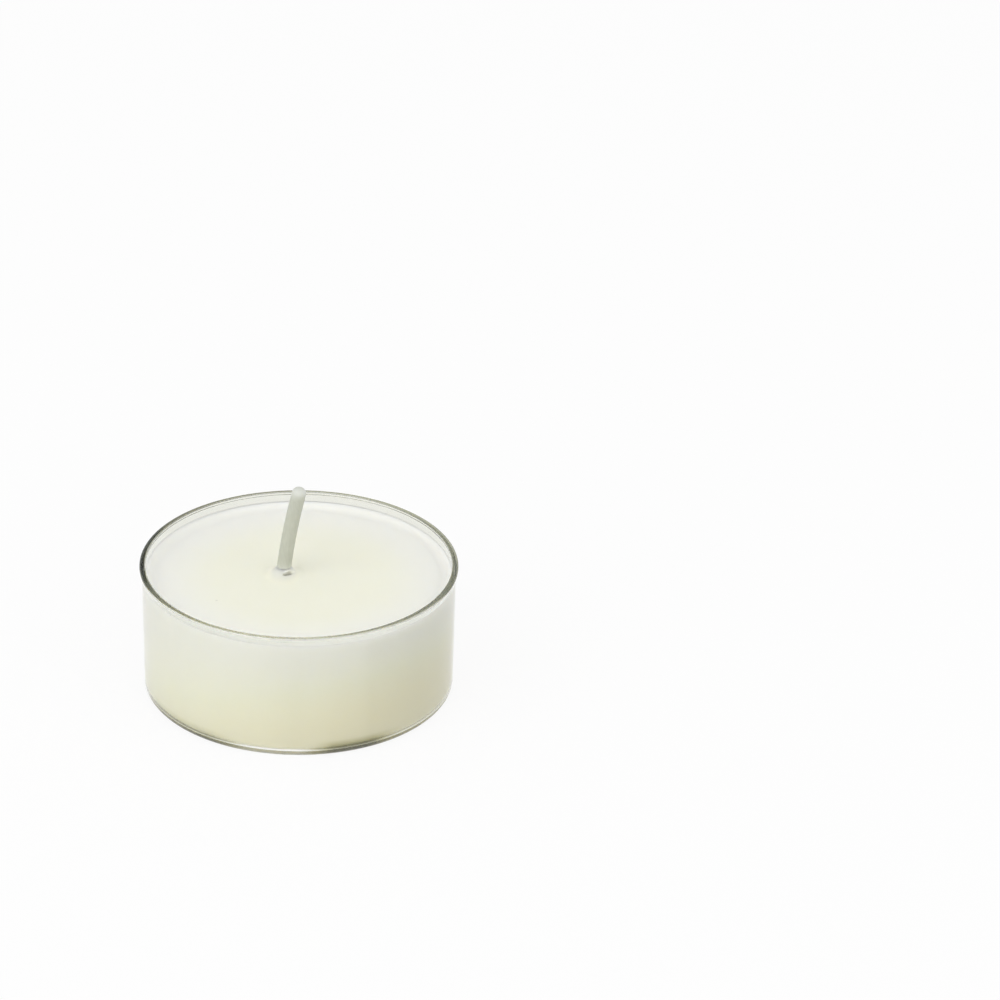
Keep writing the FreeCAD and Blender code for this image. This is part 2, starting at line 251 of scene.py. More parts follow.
def three_tones(node, share, start, middle, end):
    """A ramp over a share from 0 to 1, with its middle colour at a half."""
    ramp = node("ShaderNodeValToRGB", Fac=share)
    ramp.color_ramp.elements[0].color = (*start, 1)
    ramp.color_ramp.elements[1].color = (*end, 1)
    ramp.color_ramp.elements.new(0.5).color = (*middle, 1)
    return ramp.outputs["Color"]


def polycarbonate():
    """Clear plastic with faint flow waves and a few hairline scuffs, and painted shade in its
    colour on the lip and foot. Lamps shine through it.
    """
    made, node = new_material("clear_polycarbonate")
    place = node("ShaderNodeTexCoord").outputs["Object"]
    waves = node("ShaderNodeTexNoise", Vector=place, Scale=FLOW_SCALE, Detail=2.0)
    scuffs = node("ShaderNodeTexNoise", Vector=place, Scale=SCUFF_SCALE, Detail=5.0,
                  Roughness=SCUFF_CRISPNESS)
    bump = node("ShaderNodeBump", Height=waves.outputs["Fac"], Strength=FLOW_STRENGTH,
                Distance=FLOW_RELIEF)
    gloss = node("ShaderNodeMapRange", Value=scuffs.outputs["Fac"], From_Min=SCUFF_START,
                 From_Max=SCUFF_END, To_Min=POLISHED_ROUGHNESS, To_Max=SCUFFED_ROUGHNESS)
    # The edge number paints shade into the plastic's colour on the lip, the foot and the band at
    # the back.
    edge = read_attribute(node, "edge")
    tint_and_painted_shade = three_tones(node, edge, POLYCARBONATE_TINT, HALF_PAINTED_SHADE, EDGE_PAINTED_SHADE)
    shell = node("ShaderNodeBsdfPrincipled", Base_Color=tint_and_painted_shade, Roughness=gloss.outputs["Result"],
                 Normal=bump.outputs["Normal"], IOR=POLYCARBONATE_IOR, Transmission_Weight=1.0)
    clear = node("ShaderNodeBsdfTransparent", Color=(*SHADOW_TINT, 1))
    shade = node("ShaderNodeMixShader", Fac=node("ShaderNodeLightPath").outputs["Is Shadow Ray"])
    made.node_tree.links.new(shell.outputs["BSDF"], shade.inputs[1])
    made.node_tree.links.new(clear.outputs["BSDF"], shade.inputs[2])
    node("ShaderNodeOutputMaterial", Surface=shade.outputs["Shader"])
    return made


FOOT_RADIUS = wall_radius(0) - FOOT_WIDTH
RAISED_RADIUS = FOOT_RADIUS - FOOT_RAMP
FLOOR_TOP = CUP_FLOOR + FOOT_HEIGHT
GATE_TOP = FOOT_HEIGHT + GATE_DEPTH
LIP_LOW = CUP_TOP - LIP_HEIGHT
cup_outline = rounded_outline(
    [
        (0, GATE_TOP - GATE_MARK_HEIGHT),
        (GATE_MARK_RADIUS, GATE_TOP - GATE_MARK_HEIGHT),
        (GATE_MARK_RADIUS, GATE_TOP),
        (GATE_RADIUS, GATE_TOP),
        (GATE_RADIUS, FOOT_HEIGHT),
        (RAISED_RADIUS, FOOT_HEIGHT),
        (FOOT_RADIUS, 0),
        (wall_radius(0), 0),
        (wall_radius(LIP_LOW), LIP_LOW),
        (LIP_RADIUS, LIP_LOW),
        (LIP_RADIUS, CUP_TOP),
        (bore_radius(CUP_TOP) - WET_CONTACT, CUP_TOP),
        (bore_radius(CUP_FLOOR) - WET_CONTACT, CUP_FLOOR + WET_CONTACT),
        (FOOT_RADIUS, CUP_FLOOR + WET_CONTACT),
        (RAISED_RADIUS, FLOOR_TOP + WET_CONTACT),
        (0, FLOOR_TOP + WET_CONTACT),
    ],
    [
        SMALL_EDGE_RADIUS, SMALL_EDGE_RADIUS, SMALL_EDGE_RADIUS, SMALL_EDGE_RADIUS,
        FOOT_EDGE_RADIUS, FOOT_EDGE_RADIUS, BASE_CORNER_RADIUS,
        SMALL_EDGE_RADIUS, LIP_EDGE_RADIUS, LIP_EDGE_RADIUS, MOUTH_EDGE_RADIUS,
        INNER_CORNER_RADIUS, FOOT_EDGE_RADIUS, FOOT_EDGE_RADIUS,
    ],
    [RUN_SPACING] * 10 + [LIP_SPACING] + [RUN_SPACING] * 4,
)


def smooth_step(value, low, high):
    """0 below low, 1 above high, and 3t^2 - 2t^3 between them."""
    t = np.clip((value - low) / (high - low), 0, 1)
    return t * t * (3 - 2 * t)


def painted_edge_shade(points):
    """Painted shade in the plastic's colour on the lip's top and round the foot, standing in for
    the dark that the plastic shows there by reflection and refraction. It is streaky: how
    unshaded a streak is runs straight from one listed azimuth to the next. The shade that is
    left is one less the square of that, because light is tinted on its way in and on its way
    out. The lip's dark part starts further out from the bore at the back, and is narrow at the
    front. The foot's reaches higher on some azimuths. The bare band of wall above the wax gets
    a faint painted shade at the back."""
    x, y, z = points.reshape(-1, 3).T
    out = np.hypot(x, y)
    azimuth = np.degrees(np.arctan2(y, x))
    lip = 1 - np.interp(azimuth, LIP_AZIMUTH, LIP_UNSHADED) ** 2
    lip *= smooth_step(z, CUP_TOP - DARK_LIP_TOP - DARK_LIP_FADE, CUP_TOP - DARK_LIP_TOP)
    inner = bore_radius(CUP_TOP) + np.interp(azimuth, INSET_AZIMUTH, LIP_INSET)
    lip *= smooth_step(out, inner, inner + DARK_LIP_FADE)
    outer = bore_radius(CUP_TOP) + np.interp(azimuth, REACH_AZIMUTH, LIP_REACH)
    lip *= 1 - smooth_step(out, outer, outer + DARK_LIP_FADE)
    foot = 1 - np.interp(azimuth, FOOT_AZIMUTH, FOOT_UNSHADED) ** 2
    foot *= smooth_step(out, FOOT_RADIUS, wall_radius(0))
    foot_top = np.interp(azimuth, DARK_FOOT_AZIMUTH, DARK_FOOT_TOP)
    foot *= 1 - smooth_step(z, foot_top - DARK_FOOT_FADE, foot_top)
    # Faint painted shade on the bare band of wall above the wax, at the back only.
    band_shade = BAND_PAINTED_SHADE * smooth_step(z, CUP_TOP / 2, LIP_LOW) * smooth_step(y, 0, LIP_RADIUS / 2)
    return np.maximum(np.maximum(lip, foot), band_shade)


cup_points = turned(cup_outline[1:-1], CUP_AROUND)
cup_mesh = grid_mesh("clear_cup", cup_points)
# Painted shade on the lip, the foot and the band at the back, one number a vertex.
write_attribute(cup_mesh, "edge", np.concatenate([painted_edge_shade(cup_points), [0, 0]]))
piece("clear_cup", cup_mesh, "cup", polycarbonate())


# Wax. One pour of ivory paraffin blend, which wets the cup's wall. As it set it kept a meniscus
# up the wall and a collar up the wick, sank a little in the middle and drew back from the cup's
# bottom corner. The collar is torn at the front, where a flake has lifted off the wick.
_, wax_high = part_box("wax")
POUR_CLEARANCE = 0.00002
POUR_CORNER_RADIUS = 0.0007
WETTED_DEPTH = 0.00006
WAX_EDGE = float(wax_high[2])
MENISCUS_HEIGHT = 0.00072
MENISCUS_WIDTH = 0.0015
DISH_DEPTH = 0.00015
WAX_SHOULDER = WAX_EDGE - MENISCUS_HEIGHT
WAX_MIDDLE = WAX_SHOULDER - DISH_DEPTH
COLLAR_HEIGHT = 0.0006
COLLAR_WIDTH = 0.0017
COLLAR_LAND = 0.0002
WICK_RADIUS = 0.0009
WICK_CLEARANCE = 0.00002
WICK_CURVE_RADIUS = 0.087
TAB_RADIUS = 0.0075
TAB_THICKNESS = 0.00025
TAB_OFFSET = 0.0029
TAB_AZIMUTH = math.radians(151.0)
NECK_HEIGHT = 0.003
NECK_THICKNESS = 0.00026
NECK_TOP = FLOOR_TOP + NECK_HEIGHT
NECK_RADIUS = WICK_RADIUS + NECK_THICKNESS
NECK_ROOT = 0.0004
SEAT_MARGIN = 0.00015
HOLE_START = 0.0005
HOLE_STOP = 0.0001
SKIN_REACH = 0.0015
# The grey reaches further at the front as painted shade on the collar's front slope.
SKIN_SHADE_SPREAD = 0.0014
SKIN_CLIMB = 0.00045
SKIN_FALL = 0.00018
# Painted light and shade on the wax: lighter towards the top, darker and yellower towards the foot,
# most so on the front right.
SHADED_HEIGHT = 0.004
MOST_SHADED_AZIMUTH = math.radians(-42)
SHADE_SWING = 5
MIDDLE_LIGHT_SHARE = 0.55
SHADED_WAX = (0.90, 0.865, 0.69)
IVORY_WAX = (0.925, 0.91, 0.765)
LIT_WAX = (0.98, 0.975, 0.87)
THIN_WAX_AND_SHADE = (0.72, 0.725, 0.665)
# One tone for a speck on the wax and for the painted shade in the crevice.
SPECK_AND_SHADE_TONE = (0.45, 0.44, 0.38)
SPECK_PLACE = (-0.0098, -0.00622, 0.014516)
SPECK_RADIUS = 0.00018
SPECK_SHARE = 0.3
MOTTLE_SCALE = 170.0
MOTTLE_SHARE = 0.06
MOTTLE_CRISPNESS = 0.6
PEEL_SCALE = 700.0
PEEL_RELIEF = 0.0001
PEEL_STRENGTH = 0.15
PIT_SCALE = 520.0
PIT_EDGE = 0.06
PIT_RELIEF = 0.00005
PIT_STRENGTH = 0.2
WAX_SMOOTHEST = 0.42
WAX_ROUGHEST = 0.58
WAX_IOR = 1.44
WAX_SCATTER_TINT = (1.0, 0.97, 0.90)
WAX_SCATTER_DEPTH = 0.0005
WAX_AROUND = 256
COLLAR_RINGS = 100
BOWL_RINGS = 60
MENISCUS_RINGS = 24
HOLE_RINGS = 24
WAX_RADIUS = bore_radius(WAX_EDGE)
SHOULDER_RADIUS = WAX_RADIUS - MENISCUS_WIDTH
CENTRED_RADIUS = 0.6 * SHOULDER_RADIUS
COLLAR_INNER = WICK_RADIUS + COLLAR_LAND
COLLAR_OUTER = COLLAR_INNER + COLLAR_WIDTH


def wick_lean(height):
    """How far the wick's middle line has leaned back at a height: it stands upright up to the
    neck's top, and follows one arc above it."""
    rise = np.maximum(height - NECK_TOP, 0)
    return WICK_CURVE_RADIUS - np.sqrt(WICK_CURVE_RADIUS**2 - rise**2)


def on_azimuth(distance):
    """A point in plan at a distance from the cup's axis, along the sustainer's azimuth."""
    return distance * math.cos(TAB_AZIMUTH), distance * math.sin(TAB_AZIMUTH)


def rising_arc(run, width, height):
    """Height of an arc that starts level at run 0 and has climbed height at run width."""
    bend = (width**2 + height**2) / (2 * height)
    return bend - np.sqrt(bend**2 - np.clip(run, 0, width) ** 2)


WICK_EXIT = TAB_OFFSET - float(wick_lean(WAX_MIDDLE))
EXIT_X, EXIT_Y = on_azimuth(WICK_EXIT)


def wax_top(x, y):
    """Height of the pour's top: a shallow bowl that deepens with the square of the distance
    from the axis, plus the meniscus's arc at the wall, plus the collar's arc at the wick, plus
    a thin skin that climbs the wick and falls off exponentially away from it."""
    out = np.hypot(x, y)
    bowl = WAX_MIDDLE + DISH_DEPTH * np.clip(out / SHOULDER_RADIUS, 0, 1) ** 2
    meniscus = rising_arc(out - SHOULDER_RADIUS, MENISCUS_WIDTH, MENISCUS_HEIGHT)
    from_wick = np.hypot(x - EXIT_X, y - EXIT_Y)
    collar = rising_arc(COLLAR_OUTER - from_wick, COLLAR_WIDTH, COLLAR_HEIGHT)
    climb = SKIN_CLIMB * np.exp((WICK_RADIUS - from_wick) / SKIN_FALL)
    return bowl + meniscus + collar + climb


# The collar's tear. Each span gives where something starts, is full, falls off and ends, as a
# share of the way round the wick from the flake's start to its end.
FLAKE_START = math.radians(-92)
FLAKE_END = math.radians(-12)
FLAKE_SPAN = (0.0, 0.6, 0.85, 1.05)
FLAKE_RISE = 0.00030
FLAKE_WIDTH = 0.00008
FLAKE_NEAR = 0.00106
FLAKE_FAR = 0.00140
FLAKE_COVER = 1.5
CREVICE_SPAN = (-0.1, 0.15, 0.55, 0.8)
CREVICE_DEPTH = 0.00030
CREVICE_WIDTH = 0.00007
CREVICE_OFFSET = 0.00018
CRUMB_SPAN = (-0.2, 0.1, 0.9, 1.2)
CRUMB_RISE = 0.00002
CRUMB_WIDTH = 0.00007
CRUMB_LENGTH = 0.00006


def between(value, start, full, fall, end):
    """0 outside start and end, 1 from full to fall, and smooth steps between them."""
    return smooth_step(value, start, full) * (1 - smooth_step(value, fall, end))


def torn_collar(x, y):
    """Heights that the tear adds to the collar and takes from it: a flake that curls up beside
    the wick and swings away from it, a crevice outside it, and crumbs. Flake and crevice are
    bell curves of the distance from the wick, and crumbs are the product of two sines."""
    from_wick = np.hypot(x - EXIT_X, y - EXIT_Y)
    turn = np.arctan2(y - EXIT_Y, x - EXIT_X)
    along = (turn - FLAKE_START) / (FLAKE_END - FLAKE_START)
    ridge = FLAKE_NEAR + (FLAKE_FAR - FLAKE_NEAR) * np.clip(along, 0, 1) ** 3
    bell = np.exp(-((from_wick - ridge) / FLAKE_WIDTH) ** 2)
    flake = FLAKE_RISE * between(along, *FLAKE_SPAN) * bell
    outside = (from_wick - ridge - CREVICE_OFFSET) / CREVICE_WIDTH
    crevice = CREVICE_DEPTH * between(along, *CREVICE_SPAN) * np.exp(-outside**2)
    crumbs = CRUMB_RISE * np.sin(x / CRUMB_WIDTH) * np.sin(y / CRUMB_LENGTH + 1.0)
    near = np.exp(-((from_wick - ridge - 0.5 * CREVICE_OFFSET) / (2 * CREVICE_OFFSET)) ** 2)
    return flake, crevice, crumbs * near * between(along, *CRUMB_SPAN)


def level_rings(centre, radius, height, around):
    """Level circles: ring i has its centre at centre[i] along the sustainer's azimuth."""
    angle = np.linspace(0, math.tau, around, endpoint=False)
    middle_x, middle_y = on_azimuth(centre)
    x = middle_x[:, None] + radius[:, None] * np.cos(angle)
    y = middle_y[:, None] + radius[:, None] * np.sin(angle)
    return np.stack([x, y, height[:, None] + 0 * angle], axis=2)


def wax_points():
    """The pour as one ring-shaped grid: rings run out over the top from the wick, down the side,
    in under the pour to the sustainer's seat, up round its neck, and up the wick's hole. The
    collar leans with the wick: the higher it has climbed, the further its rings are moved."""
    hole = WICK_RADIUS + WICK_CLEARANCE
    near = np.linspace(WICK_RADIUS - WETTED_DEPTH, COLLAR_OUTER, COLLAR_RINGS)
    wide = np.linspace(COLLAR_OUTER, SHOULDER_RADIUS, BOWL_RINGS)[1:]
    steep = SHOULDER_RADIUS + MENISCUS_WIDTH * np.linspace(0, 1, MENISCUS_RINGS)[1:]
    out = np.concatenate([near, wide, steep])
    centre = WICK_EXIT * (1 - smooth_step(out, COLLAR_OUTER, CENTRED_RADIUS))
    top = level_rings(centre, out, 0 * out, WAX_AROUND)
    flake, crevice, crumbs = torn_collar(top[:, :, 0], top[:, :, 1])
    top[:, :, 2] = wax_top(top[:, :, 0], top[:, :, 1]) + flake - crevice + crumbs
    held = 1 - smooth_step(out, WICK_RADIUS, COLLAR_OUTER)[:, None]
    lean = held * (wick_lean(top[:, :, 2]) - wick_lean(WAX_MIDDLE))
    top[:, :, 0] -= lean * math.cos(TAB_AZIMUTH)
    top[:, :, 1] -= lean * math.sin(TAB_AZIMUTH)

    side_and_floor = rounded_outline(
        [
            (WAX_RADIUS, WAX_EDGE - SMALL_EDGE_RADIUS),
            (bore_radius(CUP_FLOOR), CUP_FLOOR),
            (FOOT_RADIUS, CUP_FLOOR),
            (RAISED_RADIUS, FLOOR_TOP),
            (TAB_RADIUS + SEAT_MARGIN, FLOOR_TOP),
        ],
        [POUR_CORNER_RADIUS, FOOT_EDGE_RADIUS, FOOT_EDGE_RADIUS],
    )
    radius, height = side_and_floor.T
    centre = TAB_OFFSET * (1 - smooth_step(radius, TAB_RADIUS + TAB_OFFSET, RAISED_RADIUS))
    under = level_rings(centre, radius, height, WAX_AROUND)

    tab_top = FLOOR_TOP + TAB_THICKNESS + POUR_CLEARANCE
    seat = np.array([
        (TAB_RADIUS + POUR_CLEARANCE, FLOOR_TOP),
        (TAB_RADIUS + POUR_CLEARANCE, tab_top),
        (NECK_RADIUS + NECK_ROOT, tab_top),
        (NECK_RADIUS + POUR_CLEARANCE, tab_top + NECK_ROOT),
        (NECK_RADIUS + POUR_CLEARANCE, NECK_TOP + POUR_CLEARANCE),
        (hole, NECK_TOP + POUR_CLEARANCE),
    ])
    seat_rings = level_rings(np.full(len(seat), TAB_OFFSET), seat[:, 0], seat[:, 1], WAX_AROUND)

    hole_top = WAX_MIDDLE + COLLAR_HEIGHT - HOLE_STOP
    climb = np.linspace(NECK_TOP + HOLE_START, hole_top, HOLE_RINGS)
    centre = TAB_OFFSET - wick_lean(climb)
    bore = level_rings(centre, np.full(len(climb), hole), climb, WAX_AROUND)
    return np.concatenate([top, under, seat_rings, bore])


def maths(tree, operation, first, second, clamp=False):
    """One Math node; an input is a socket or a plain number."""
    added = tree.nodes.new("ShaderNodeMath")
    added.operation = operation
    added.use_clamp = clamp
    for socket, value in zip(added.inputs, (first, second)):
        if isinstance(value, bpy.types.NodeSocket):
            tree.links.new(value, socket)
        else:
            socket.default_value = value
    return added.outputs[0]


def ivory_wax():
    """Satin paraffin that lets light a few millimetres in. Its colour carries painted light and
    shade, a grey near the wick, a faint mottle, a soft orange peel, fine pits, one speck, and
    painted shade in the crevice."""
    made, node = new_material("ivory_wax")
    tree = made.node_tree
    place = node("ShaderNodeTexCoord").outputs["Object"]
    mottle = node("ShaderNodeTexNoise", Vector=place, Scale=MOTTLE_SCALE, Detail=3.0,
                  Roughness=MOTTLE_CRISPNESS)
    uneven = node("ShaderNodeMapRange", Value=mottle.outputs["Fac"], To_Min=-MOTTLE_SHARE,
                  To_Max=MOTTLE_SHARE)
    # The ramp runs from a shaded to a lit tone of the wax: painted light and shade, with a random
    # mottle.
    light_and_mottle = maths(tree, "ADD", read_attribute(node, "painted_light"), uneven.outputs["Result"])
    colour = three_tones(node, light_and_mottle, SHADED_WAX, IVORY_WAX, LIT_WAX)
    # Near the wick the wax greys: thin wax over the grey wick, and painted shade on the collar's
    # front slope.
    grey = node("ShaderNodeMixRGB", Fac=read_attribute(node, "skin"), Color1=colour,
                Color2=(*THIN_WAX_AND_SHADE, 1))
    grime = node("ShaderNodeVectorMath", Vector=place)
    grime.operation = "DISTANCE"
    grime.inputs[1].default_value = SPECK_PLACE
    speck = node("ShaderNodeMapRange", Value=grime.outputs["Value"], From_Min=SPECK_RADIUS,
                 From_Max=0.5 * SPECK_RADIUS, To_Max=SPECK_SHARE)
    # The speck is a mark on the wax; the crevice's dark is painted shade.
    speck_and_shade = maths(tree, "MAXIMUM", speck.outputs["Result"], read_attribute(node, "crevice"))
    specked_and_shaded = node("ShaderNodeMixRGB", Fac=speck_and_shade, Color1=grey.outputs["Color"],
                  Color2=(*SPECK_AND_SHADE_TONE, 1))
    peel = node("ShaderNodeTexNoise", Vector=place, Scale=PEEL_SCALE, Detail=3.0)
    pits = node("ShaderNodeTexVoronoi", Vector=place, Scale=PIT_SCALE)
    pit = node("ShaderNodeMapRange", Value=pits.outputs["Distance"], From_Max=PIT_EDGE)
    soft = node("ShaderNodeBump", Height=peel.outputs["Fac"], Strength=PEEL_STRENGTH,
                Distance=PEEL_RELIEF)
    bump = node("ShaderNodeBump", Height=pit.outputs["Result"], Strength=PIT_STRENGTH,
                Distance=PIT_RELIEF, Normal=soft.outputs["Normal"])
    gloss = node("ShaderNodeMapRange", Value=peel.outputs["Fac"], To_Min=WAX_SMOOTHEST,
                 To_Max=WAX_ROUGHEST)
    wax = node("ShaderNodeBsdfPrincipled", Base_Color=specked_and_shaded.outputs["Color"],
               Roughness=gloss.outputs["Result"], Normal=bump.outputs["Normal"], IOR=WAX_IOR,
               Subsurface_Weight=1.0, Subsurface_Radius=WAX_SCATTER_TINT,
               Subsurface_Scale=WAX_SCATTER_DEPTH)
    node("ShaderNodeOutputMaterial", Surface=wax.outputs["BSDF"])
    return made


def wax_light_and_shade(points):
    """How light the wax is painted: over the side it rises from the foot to the top edge, as
    painted light from above and painted shade below, sooner on the side away from the most
    shaded azimuth; over the top it rises from the middle to the wall."""
    x, y, z = points.reshape(-1, 3).T
    out = smooth_step(np.hypot(x, y), 0.5 * WAX_RADIUS, WAX_RADIUS)
    away = 0.5 - 0.5 * np.cos(np.arctan2(y, x) - MOST_SHADED_AZIMUTH)
    up = smooth_step(z, SHADED_HEIGHT * (1 - SHADE_SWING * away), WAX_EDGE)
    return up * (MIDDLE_LIGHT_SHARE + (1 - MIDDLE_LIGHT_SHARE) * out)


def thin_wax_and_painted_shade(points):
    """How grey the wax is painted near the wick: the grey wick shows through thin wax there, and
    the reach is widest at the front as painted shade on the collar's front slope. It is all at
    the wick, none past that reach, and none on the flake, which is white where it has lifted."""
    x, y, z = points.reshape(-1, 3).T
    from_wick = np.hypot(x - EXIT_X, y - EXIT_Y)
    flake, _, _ = torn_collar(x, y)
    front = 0.5 - 0.5 * (y - EXIT_Y) / from_wick
    near = 1 - smooth_step(from_wick, WICK_RADIUS, SKIN_REACH + SKIN_SHADE_SPREAD * front**2)
    covered = np.clip(FLAKE_COVER * flake / FLAKE_RISE, 0, 1)
    return near * (1 - covered) * (z > WAX_MIDDLE - MENISCUS_HEIGHT)


def crevice_painted_shade(points):
    """How much painted shade the crevice puts on the wax, from 0 to 1: the square of how deep it
    is there.
    """
    x, y, z = points.reshape(-1, 3).T
    _, crevice, _ = torn_collar(x, y)
    return (crevice / CREVICE_DEPTH) ** 2 * (z > WAX_MIDDLE - MENISCUS_HEIGHT)


wax_grid = wax_points()
wax_mesh = grid_mesh("wax_pour", wax_grid, "joined")
# Painted light and shade on the pour, one number a vertex.
write_attribute(wax_mesh, "painted_light", wax_light_and_shade(wax_grid))
write_attribute(wax_mesh, "skin", thin_wax_and_painted_shade(wax_grid))
write_attribute(wax_mesh, "crevice", crevice_painted_shade(wax_grid))
piece("wax_pour", wax_mesh, "wax", ivory_wax())


# Sustainer. A disc stamped from tinned steel with a drawn neck, crimped on to the wick's foot.
# It lies on the cup's floor, and shows only from below, through the clear plastic.
GRAIN_STRETCH = (1, 30, 1)
GRAIN_SCALE = 900.0
GRAIN_RELIEF = 0.00003
GRAIN_STRENGTH = 0.2
BLOTCH_SCALE = 350.0
DULL_TIN = (0.60, 0.61, 0.62)
BRIGHT_TIN = (0.72, 0.73, 0.73)
TIN_SMOOTHEST = 0.22
TIN_ROUGHEST = 0.45


def tinned_steel():
    """Rolled tin plate: a fine grain along one direction, with a few dull blotches."""
    made, node = new_material("tinned_steel")
    place = node("ShaderNodeTexCoord").outputs["Object"]
    stretch = node("ShaderNodeMapping", Vector=place, Scale=GRAIN_STRETCH)
    grain = node("ShaderNodeTexNoise", Vector=stretch.outputs["Vector"], Scale=GRAIN_SCALE,
                 Detail=4.0)
    blotch = node("ShaderNodeTexNoise", Vector=place, Scale=BLOTCH_SCALE, Detail=2.0)
    tone = node("ShaderNodeMixRGB", Fac=blotch.outputs["Fac"], Color1=(*DULL_TIN, 1),
                Color2=(*BRIGHT_TIN, 1))
    gloss = node("ShaderNodeMapRange", Value=grain.outputs["Fac"], To_Min=TIN_SMOOTHEST,
                 To_Max=TIN_ROUGHEST)
    bump = node("ShaderNodeBump", Height=grain.outputs["Fac"], Strength=GRAIN_STRENGTH,
                Distance=GRAIN_RELIEF)
    steel = node("ShaderNodeBsdfPrincipled", Base_Color=tone.outputs["Color"],
                 Roughness=gloss.outputs["Result"], Normal=bump.outputs["Normal"], Metallic=1.0)
    node("ShaderNodeOutputMaterial", Surface=steel.outputs["BSDF"])
    return made


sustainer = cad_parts["wick_sustainer"]
sustainer.data.materials.clear()
sustainer.data.materials.append(tinned_steel())


# Wick. Braided cotton soaked in wax until it is stiff, cut off and a little mushroomed at its
# tip. The wax fills the braid, so only low ridges of it show.
wick_low, wick_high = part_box("wick")
WICK_TOP = float(wick_high[2])
WICK_LOW = float(wick_low[2])
WICK_AROUND = 96
WICK_ROWS = 260
TIP_RADIUS = 0.00075
TIP_ROWS = 14
TIP_MARGIN = 0.00006
BRAID_PITCH = 0.0016
BRAID_STRANDS = 4
BRAID_RELIEF = 0.000012
# The paler tip is partly painted light.
PALE_TIP_FROM = 2.2 * TIP_RADIUS
PALE_TIP_FULL = 0.3 * TIP_RADIUS
THREAD_STRETCH = (1, 1, 0.25)
THREAD_SCALE = 4200.0
THREAD_RELIEF = 0.00004
THREAD_STRENGTH = 0.3
DAMP_THREAD = (0.45, 0.465, 0.39)
PALE_THREAD = (0.56, 0.575, 0.50)
PALEST_THREAD = (0.66, 0.675, 0.62)
COTTON_SMOOTHEST = 0.38
COTTON_ROUGHEST = 0.55
COTTON_SCATTER_SHARE = 0.15
COTTON_SCATTER_TINT = (1.0, 0.9, 0.7)
COTTON_SCATTER_DEPTH = 0.0004


def wick_points():
    """Rings square to the wick's middle line. Their radius is the wick's own, with the ridges of
    two opposite helices on it, and falls off on a quarter circle at the tip."""
    straight = NECK_TOP - WICK_LOW
    sweep = math.asin((WICK_TOP - TIP_MARGIN - NECK_TOP) / WICK_CURVE_RADIUS)
    length = straight + WICK_CURVE_RADIUS * sweep
    along = np.linspace(0, length - TIP_RADIUS, WICK_ROWS)
    dome = np.linspace(0, math.pi / 2, TIP_ROWS)[1:-1]
    along = np.concatenate([along, length - TIP_RADIUS + TIP_RADIUS * np.sin(dome)])
    inset = np.concatenate([np.zeros(WICK_ROWS), TIP_RADIUS * (1 - np.cos(dome))])
    bend = np.maximum(along - straight, 0) / WICK_CURVE_RADIUS
    lean = WICK_CURVE_RADIUS * (1 - np.cos(bend))
    height = WICK_LOW + np.minimum(along, straight) + WICK_CURVE_RADIUS * np.sin(bend)
    angle = np.linspace(0, math.tau, WICK_AROUND, endpoint=False)
    turn = math.tau * along[:, None] / BRAID_PITCH
    ridges = np.cos(BRAID_STRANDS * angle + turn) * np.cos(BRAID_STRANDS * angle - turn)
    radius = (WICK_RADIUS - inset)[:, None] + BRAID_RELIEF * (ridges - 1)
    side = radius * np.cos(angle)
    offset = TAB_OFFSET - lean[:, None] + side * np.cos(bend)[:, None]
    x = offset * math.cos(TAB_AZIMUTH) - radius * np.sin(angle) * math.sin(TAB_AZIMUTH)
    y = offset * math.sin(TAB_AZIMUTH) + radius * np.sin(angle) * math.cos(TAB_AZIMUTH)
    z = height[:, None] + side * np.sin(bend)[:, None]
    return np.stack([x, y, z], axis=2)


def waxed_cotton():
    """Grey-white cotton under a skin of wax: threads as fine bump, and a soft gloss."""
    made, node = new_material("waxed_cotton")
    place = node("ShaderNodeTexCoord").outputs["Object"]
    stretch = node("ShaderNodeMapping", Vector=place, Scale=THREAD_STRETCH)
    threads = node("ShaderNodeTexNoise", Vector=stretch.outputs["Vector"], Scale=THREAD_SCALE,
                   Detail=4.0)
    tone = node("ShaderNodeMixRGB", Fac=threads.outputs["Fac"], Color1=(*DAMP_THREAD, 1),
                Color2=(*PALE_THREAD, 1))
    # Paler at the tip, partly as painted light, and at the foot, under the collar's white skin.
    pale = node("ShaderNodeMixRGB", Fac=read_attribute(node, "pale_tip_and_foot"), Color1=tone.outputs["Color"],
                Color2=(*PALEST_THREAD, 1))
    bump = node("ShaderNodeBump", Height=threads.outputs["Fac"], Strength=THREAD_STRENGTH,
                Distance=THREAD_RELIEF)
    gloss = node("ShaderNodeMapRange", Value=threads.outputs["Fac"], To_Min=COTTON_SMOOTHEST,
                 To_Max=COTTON_ROUGHEST)
    cotton = node("ShaderNodeBsdfPrincipled", Base_Color=pale.outputs["Color"],
                  Roughness=gloss.outputs["Result"], Normal=bump.outputs["Normal"], IOR=WAX_IOR,
                  Subsurface_Weight=COTTON_SCATTER_SHARE, Subsurface_Radius=COTTON_SCATTER_TINT,
                  Subsurface_Scale=COTTON_SCATTER_DEPTH)
    node("ShaderNodeOutputMaterial", Surface=cotton.outputs["BSDF"])
    return made


def pale_tip_and_foot_share(points):
    """How pale the wick is: it rises over the last stretch to the tip, where the wax ran off and
    where painted light stands for the light that the upturned tip catches, and again over the
    foot, where the pour's collar wets it with a white skin."""
    z = points.reshape(-1, 3)[:, 2]
    tip = smooth_step(z, WICK_TOP - PALE_TIP_FROM, WICK_TOP - PALE_TIP_FULL)
    collar_top = WAX_MIDDLE + COLLAR_HEIGHT
    foot = 1 - smooth_step(z, collar_top, collar_top + 3 * SKIN_CLIMB)
    return np.maximum(tip, foot)


